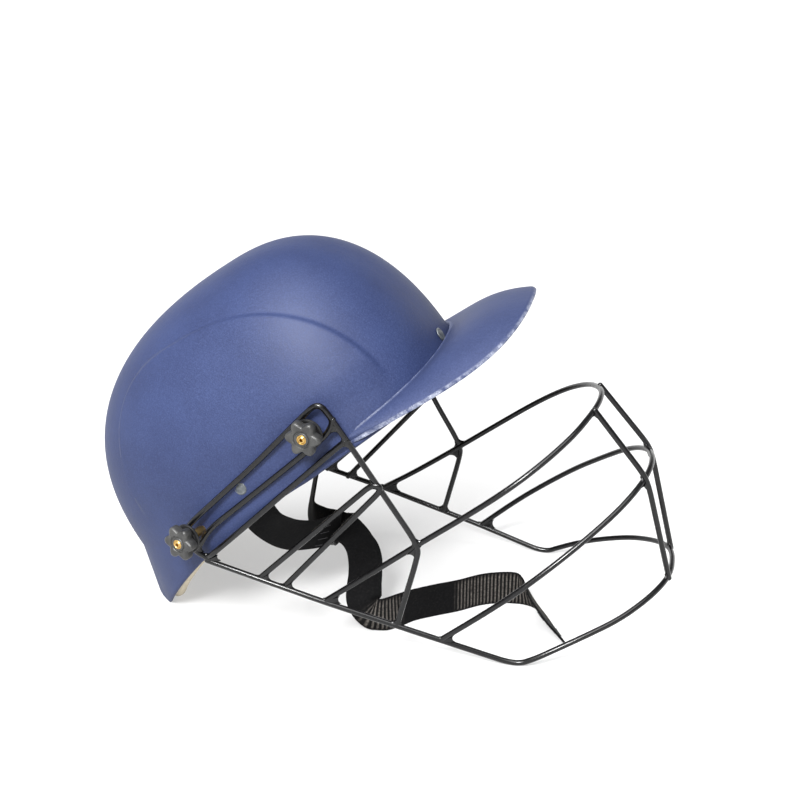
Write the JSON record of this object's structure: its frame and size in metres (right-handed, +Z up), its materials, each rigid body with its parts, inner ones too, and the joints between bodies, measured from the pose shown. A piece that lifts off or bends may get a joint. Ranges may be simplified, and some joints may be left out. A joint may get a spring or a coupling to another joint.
{
  "type": "cricket batting helmet with wire faceguard",
  "caption": "Hard blue batting helmet with a short peak, foam liner, wire faceguard on slotted side mounts with star knobs, and a webbing chin strap.",
  "frame": {"origin": "centre of the outline on the resting surface, under the middle of the helmet and faceguard without the chin strap", "axes": "+X forward to the peak and faceguard, +Z up as the helmet lies tilted back, Y = 0 is the plane of symmetry"},
  "size_m": [0.4232, 0.2378, 0.27],
  "materials": {
    "shell_blue": "semi-matt, fine pebble",
    "peak_blue": "semi-matt",
    "liner_foam": "matt foam",
    "pad_fabric": "matt cloth over foam",
    "black_wire": "semi-gloss black coating",
    "webbing": "ribbed woven webbing",
    "black_plastic": "satin",
    "washer_plastic": "satin",
    "knob_plastic": "satin",
    "brass": "satin",
    "grey_rivet": "satin grey"
  },
  "bodies": {
    "helmet": {"shell": "shell_blue", "peak": "peak_blue", "peak_rivet": "grey_rivet", "impact_liner": "liner_foam", "crown_pad": "pad_fabric", "front_sweatband": "pad_fabric", "nape_pad": "pad_fabric", "side_pads": "pad_fabric", "fixing_studs": "brass", "brass_spacer_nuts": "brass", "strap_rivets": "grey_rivet", "strap_right": "webbing", "strap_left": "webbing", "strap_slider": "black_plastic"},
    "faceguard": {"side_loop_wire_right": "black_wire", "side_loop_wire_left": "black_wire", "slot_lower_wire_right": "black_wire", "slot_lower_wire_left": "black_wire", "rim_wire_right": "black_wire", "rim_wire_left": "black_wire", "lower_frame_wire": "black_wire", "cheek_hairpin_right": "black_wire", "cheek_hairpin_left": "black_wire", "upper_front_bar": "black_wire", "lower_front_bar": "black_wire", "front_upright_right": "black_wire", "front_upright_left": "black_wire"},
    "clamp_front_right": {"clamp_washer_front_right": "washer_plastic"},
    "knob_front_right": {"star_knob_front_right": "knob_plastic", "knob_insert_front_right": "brass"},
    "clamp_front_left": {"clamp_washer_front_left": "washer_plastic"},
    "knob_front_left": {"star_knob_front_left": "knob_plastic", "knob_insert_front_left": "brass"},
    "clamp_rear_right": {"clamp_washer_rear_right": "washer_plastic"},
    "knob_rear_right": {"star_knob_rear_right": "knob_plastic", "knob_insert_rear_right": "brass"},
    "clamp_rear_left": {"clamp_washer_rear_left": "washer_plastic"},
    "knob_rear_left": {"star_knob_rear_left": "knob_plastic", "knob_insert_rear_left": "brass"}
  },
  "joints": [
    {"name": "faceguard_slide", "type": "slide", "parent": "helmet", "child": "faceguard", "axis": [0.682, 0, 0.7314], "range_m": [-0.006, 0]},
    {"name": "clamp_front_right_slide", "type": "slide", "parent": "helmet", "child": "clamp_front_right", "axis": [-0.1392, -0.9903, 0], "range_m": [0, 0.00239]},
    {"name": "knob_front_right_turn", "type": "hinge", "parent": "clamp_front_right", "child": "knob_front_right", "pos_m": [-0.029, -0.094, 0.1705], "axis": [-0.1392, -0.9903, 0], "range_deg": [0, 1080]},
    {"name": "clamp_front_left_slide", "type": "slide", "parent": "helmet", "child": "clamp_front_left", "axis": [-0.1392, 0.9903, 0], "range_m": [0, 0.00239]},
    {"name": "knob_front_left_turn", "type": "hinge", "parent": "clamp_front_left", "child": "knob_front_left", "pos_m": [-0.029, 0.094, 0.1705], "axis": [-0.1392, 0.9903, 0], "range_deg": [0, 1080]},
    {"name": "clamp_rear_right_slide", "type": "slide", "parent": "helmet", "child": "clamp_rear_right", "axis": [-0.342, -0.9397, 0], "range_m": [0, 0.00239]},
    {"name": "knob_rear_right_turn", "type": "hinge", "parent": "clamp_rear_right", "child": "knob_rear_right", "pos_m": [-0.1126, -0.0886, 0.0844], "axis": [-0.342, -0.9397, 0], "range_deg": [0, 1080]},
    {"name": "clamp_rear_left_slide", "type": "slide", "parent": "helmet", "child": "clamp_rear_left", "axis": [-0.342, 0.9397, 0], "range_m": [0, 0.00239]},
    {"name": "knob_rear_left_turn", "type": "hinge", "parent": "clamp_rear_left", "child": "knob_rear_left", "pos_m": [-0.1126, 0.0886, 0.0844], "axis": [-0.342, 0.9397, 0], "range_deg": [0, 1080]}
  ],
  "couplings": [
    {"joint": "knob_front_right_turn", "follows": "clamp_front_right_slide", "rad_per_m": 7854},
    {"joint": "knob_front_left_turn", "follows": "clamp_front_left_slide", "rad_per_m": 7854},
    {"joint": "knob_rear_right_turn", "follows": "clamp_rear_right_slide", "rad_per_m": 7854},
    {"joint": "knob_rear_left_turn", "follows": "clamp_rear_left_slide", "rad_per_m": 7854}
  ]
}
